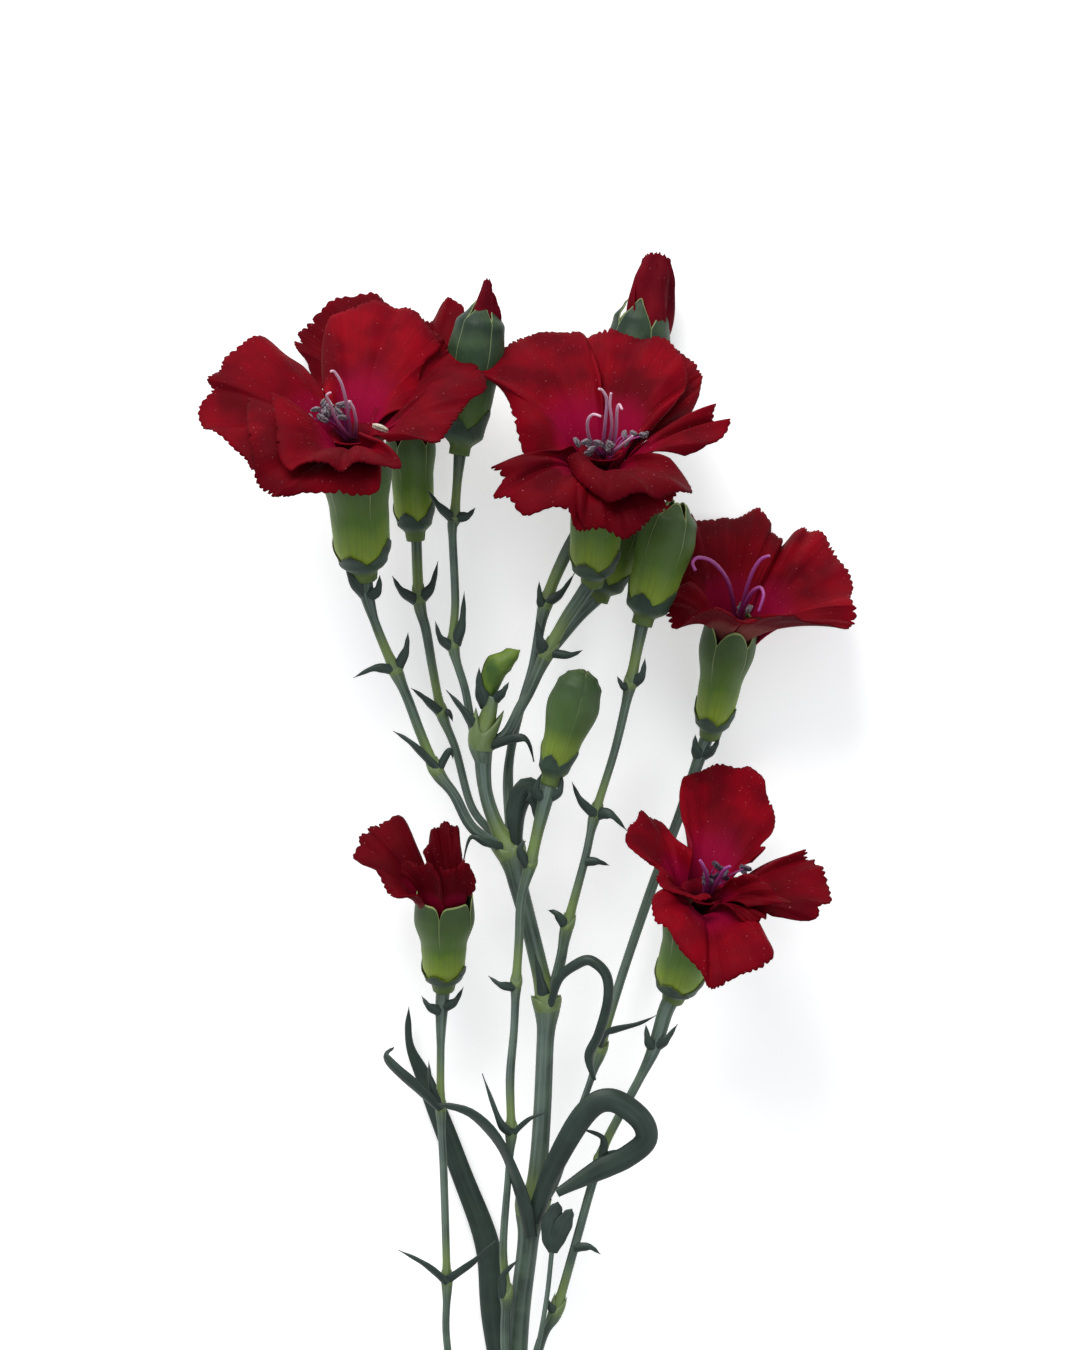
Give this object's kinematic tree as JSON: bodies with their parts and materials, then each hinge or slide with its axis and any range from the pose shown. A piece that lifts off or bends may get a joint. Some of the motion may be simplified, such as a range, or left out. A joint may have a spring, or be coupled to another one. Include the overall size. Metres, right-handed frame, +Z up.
{
  "type": "cut carnation spray",
  "caption": "Cut spray of a single-flowered deep red carnation with buds, side stems and narrow grey-green leaves, lying on a flat surface.",
  "frame": {"origin": "on the surface, below the middle of the spray's bounding box", "axes": "+Y along the main stem from the cut end towards the flowers, +Z up from the surface, +X to the right when looking down with the flowers at the top"},
  "size_m": [0.1316, 0.3301, 0.0584],
  "materials": {
    "petal": "velvety deep crimson, brighter where lit",
    "stem": "smooth with a grey waxy bloom",
    "leaf": "smooth, blue-green with a waxy bloom",
    "calyx": "finely ribbed, satin",
    "stamen": "powdery"
  },
  "bodies": {
    "root": {"arched_leaf": "leaf", "centre_flower_bottom_petal": "petal", "centre_flower_calyx": "calyx", "centre_flower_front_petal": "petal", "centre_flower_lower_left_petal": "petal", "centre_flower_right_behind_petal": "petal", "centre_flower_right_narrow_petal": "petal", "centre_flower_stamens": "stamen", "centre_flower_stem": "stem", "centre_flower_upper_left_petal": "petal", "centre_flower_upper_right_petal": "petal", "curled_leaf": "leaf", "green_bud": "calyx", "green_bud_stem": "stem", "half_open_flower_calyx": "calyx", "half_open_flower_front_petal": "petal", "half_open_flower_left_petal": "petal", "half_open_flower_right_petal": "petal", "half_open_flower_stem": "stem", "half_open_flower_upper_petal": "petal", "hidden_bud_calyx": "calyx", "hidden_bud_petals": "petal", "hidden_flower_stem": "stem", "left_bud_calyx": "calyx", "left_bud_petals": "petal", "left_bud_stem": "stem", "left_flower_calyx": "calyx", "left_flower_front_petal": "petal", "left_flower_left_petal": "petal", "left_flower_lower_back_petal": "petal", "left_flower_mid_right_petal": "petal", "left_flower_right_petal": "petal", "left_flower_stamens": "stamen", "left_flower_stem": "stem", "left_flower_top_petal": "petal", "long_leaf": "leaf", "lower_right_flower_calyx": "calyx", "lower_right_flower_left_petal": "petal", "lower_right_flower_lower_petal": "petal", "lower_right_flower_right_petal": "petal", "lower_right_flower_stem": "stem", "lower_right_flower_top_petal": "petal", "main_stem": "stem", "open_bud_calyx": "calyx", "open_bud_stem": "stem", "rear_flower_calyx": "calyx", "rear_flower_stem": "stem", "rear_flower_top_left_petal": "petal", "rear_flower_top_right_petal": "petal", "right_flower_back_left_petal": "petal", "right_flower_calyx": "calyx", "right_flower_left_petal": "petal", "right_flower_lower_right_petal": "petal", "right_flower_right_petal": "petal", "right_flower_stamens": "stamen", "right_flower_stem": "stem", "small_bud_stem": "stem", "tall_bud_calyx": "calyx", "tall_bud_petals": "petal", "tall_bud_stem": "stem"}
  },
  "joints": []
}
